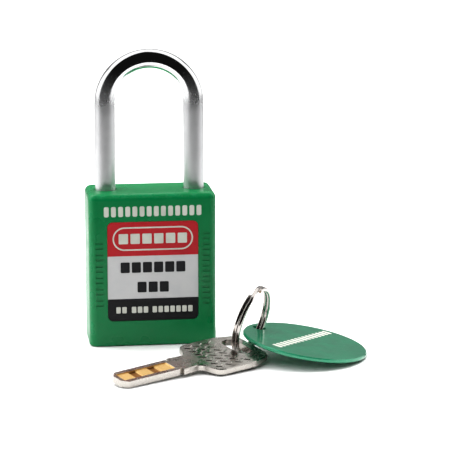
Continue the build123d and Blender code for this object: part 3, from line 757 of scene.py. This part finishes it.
def pale_table():
    """White paper when seen directly; for every other ray painted greyer, a pool of light fading to painted
    shade the further off it lies.
    """
    material, tree, shader, spot = start_finish("pale_table", 0.6)
    grain = use_group(tree, GRAIN, spot, Size_mm=2.0)
    paper = mix_colour(tree, grain.outputs["Cloudy"], (0.90, 0.90, 0.90, 1), (0.93, 0.93, 0.93, 1))
    far = place(tree, "ShaderNodeVectorMath", "distance", operation="LENGTH")
    join(tree, spot, far.inputs[0])
    # Painted shade: the paper is painted darker the further it lies from the padlock.
    painted_light_pool = remap(tree, far.outputs["Value"], LIGHT_POOL_FULL, LIGHT_POOL_END, LIGHT_POOL_NEAR, LIGHT_POOL_FAR)
    paper_painted_shade = mix_colour(tree, painted_light_pool, (0, 0, 0, 1), paper)
    ray = place(tree, "ShaderNodeLightPath", "ray kind").outputs["Is Camera Ray"]
    join(tree, mix_colour(tree, ray, paper_painted_shade, paper), shader.inputs["Base Color"])
    return material


def build_table():
    """A flat sheet just under the padlock."""
    mesh = bpy.data.meshes.new("table")
    corners = [(-TABLE_HALF_W, TABLE_FRONT), (TABLE_HALF_W, TABLE_FRONT),
               (TABLE_HALF_W, TABLE_BACK), (-TABLE_HALF_W, TABLE_BACK)]
    work = bmesh.new()
    work.faces.new([work.verts.new((x, y, -TABLE_DROP)) for x, y in corners])
    work.to_mesh(mesh)
    work.free()
    table = bpy.data.objects.new("table", mesh)
    bpy.context.scene.collection.objects.link(table)
    mesh.materials.append(pale_table())
    return table


print("table:", build_table().name)

# %% [markdown]
# ## The lamps
#
# One large soft lamp hangs above and behind the set and lights the tops. A second stands to the
# left, a third far in front lifts the label, and a small one close in front adds a little more
# light there. The main lamps are wide, because wide lamps give soft shadows. All four are left
# out of mirrors, because the polished steel gets its own room to mirror, in the next cell.

# %% Lamps
def soft_lamp(name, place_at, aim_at, width, depth, power):
    """A rectangular lamp pointed at a spot, unseen by the camera."""
    data = bpy.data.lights.new(name, "AREA")
    data.shape = "RECTANGLE"
    data.size, data.size_y = width, depth
    data.energy = power
    lamp = bpy.data.objects.new(name, data)
    lamp.location = place_at
    lamp.rotation_euler = (Vector(aim_at) - Vector(place_at)).to_track_quat("-Z", "Y").to_euler()
    lamp.visible_camera = False
    bpy.context.scene.collection.objects.link(lamp)
    return lamp


roof = soft_lamp("roof_lamp", (0.0, 0.30, 0.85), (0.0, 0.26, 0.0), 1.5, 0.9, 15.0)
left = soft_lamp("left_lamp", (-0.85, 0.25, 0.35), (0.0, 0.0, 0.05), 0.9, 0.7, 4.5)
fill = soft_lamp("front_fill", (-0.25, -0.80, 0.70), (0.0, 0.0, 0.04), 0.5, 0.5, 2.1)
brow = soft_lamp("brow_lamp", (0.0, -0.10, 0.14), (0.0, 0.0, 0.045), 0.08, 0.04, 0.035)
for lamp in (roof, left, fill, brow):
    lamp.visible_glossy = False

# %% [markdown]
# ## The room
#
# Polished steel looks like what stands around it. In a studio that is white cloth over the back
# and sides, and a dark room in front, which draws the black band on the shackle. The cloth could
# be modelled as sheets, but a pattern on the world's sky is simpler and never gets in the way. The
# backdrop itself is plain white where it is seen directly.

# %% Room light
ROOM_DARK, ROOM_LOW, ROOM_BRIGHT = 0.010, 0.20, 1.25


def room_light():
    """What the polished parts mirror: dark in front, and bright cloth over the back and sides."""
    world = bpy.data.worlds.new("studio_room")
    world.use_nodes = True
    tree = world.node_tree
    around = place(tree, "ShaderNodeTexCoord", "direction").outputs["Generated"]
    parts = place(tree, "ShaderNodeSeparateXYZ", "across, back, up")
    join(tree, around, parts.inputs[0])
    sideways = maths(tree, "ABSOLUTE", parts.outputs["X"])
    back_or_side = maths(tree, "ADD", parts.outputs["Y"], maths(tree, "MULTIPLY", sideways, 0.45))
    behind = remap(tree, back_or_side, 0.12, 0.20)
    high = remap(tree, parts.outputs["Z"], 0.50, 0.58)
    beside = remap(tree, sideways, 0.62, 0.75)
    cloth = maths(tree, "MULTIPLY", behind, maths(tree, "MAXIMUM", high, beside))
    low = maths(tree, "MULTIPLY", behind, ROOM_LOW)
    level = maths(tree, "MAXIMUM", maths(tree, "MULTIPLY", cloth, ROOM_BRIGHT), low)
    lit = tree.nodes["Background"]
    join(tree, maths(tree, "MAXIMUM", level, ROOM_DARK), lit.inputs["Strength"])
    lit.inputs["Color"].default_value = (1, 1, 1, 1)
    seen = place(tree, "ShaderNodeBackground", "what the camera sees", Strength=1.0)
    seen.inputs["Color"].default_value = (1, 1, 1, 1)
    ray = place(tree, "ShaderNodeLightPath", "ray kind").outputs["Is Camera Ray"]
    both = place(tree, "ShaderNodeMixShader", "pick")
    join(tree, ray, both.inputs[0])
    join(tree, lit.outputs[0], both.inputs[1])
    join(tree, seen.outputs[0], both.inputs[2])
    join(tree, both.outputs[0], tree.nodes["World Output"].inputs["Surface"])
    bpy.context.scene.world = world


room_light()
bpy.context.scene.view_settings.view_transform = "Standard"
bpy.context.scene.view_settings.look = "Medium High Contrast"
print("room light set")

# %% [markdown]
# ## The camera
#
# A long lens from about two thirds of a metre keeps the padlock's upright edges nearly parallel,
# as in a catalogue. The camera stands a little to the left and a little above.

# %% Camera
CAMERA_TURN, CAMERA_RISE = math.radians(-7.4), math.radians(11.85)
CAMERA_AWAY = 0.681
CAMERA_AIM = Vector((0.02366, 0.0, 0.03558))
LENS_MM = 173.7


def build_camera():
    """A long lens, set back from the middle of the set along the viewing direction."""
    back = Vector((
        math.sin(CAMERA_TURN) * math.cos(CAMERA_RISE),
        -math.cos(CAMERA_TURN) * math.cos(CAMERA_RISE),
        math.sin(CAMERA_RISE),
    ))
    data = bpy.data.cameras.new("catalogue_camera")
    data.lens = LENS_MM
    data.sensor_width = 36.0
    data.clip_start, data.clip_end = 0.01, 20.0
    camera = bpy.data.objects.new("catalogue_camera", data)
    camera.location = CAMERA_AIM + back * CAMERA_AWAY
    camera.rotation_euler = (-back).to_track_quat("-Z", "Y").to_euler()
    bpy.context.scene.collection.objects.link(camera)
    bpy.context.scene.camera = camera
    return camera


print("camera at", [round(c, 3) for c in build_camera().location])
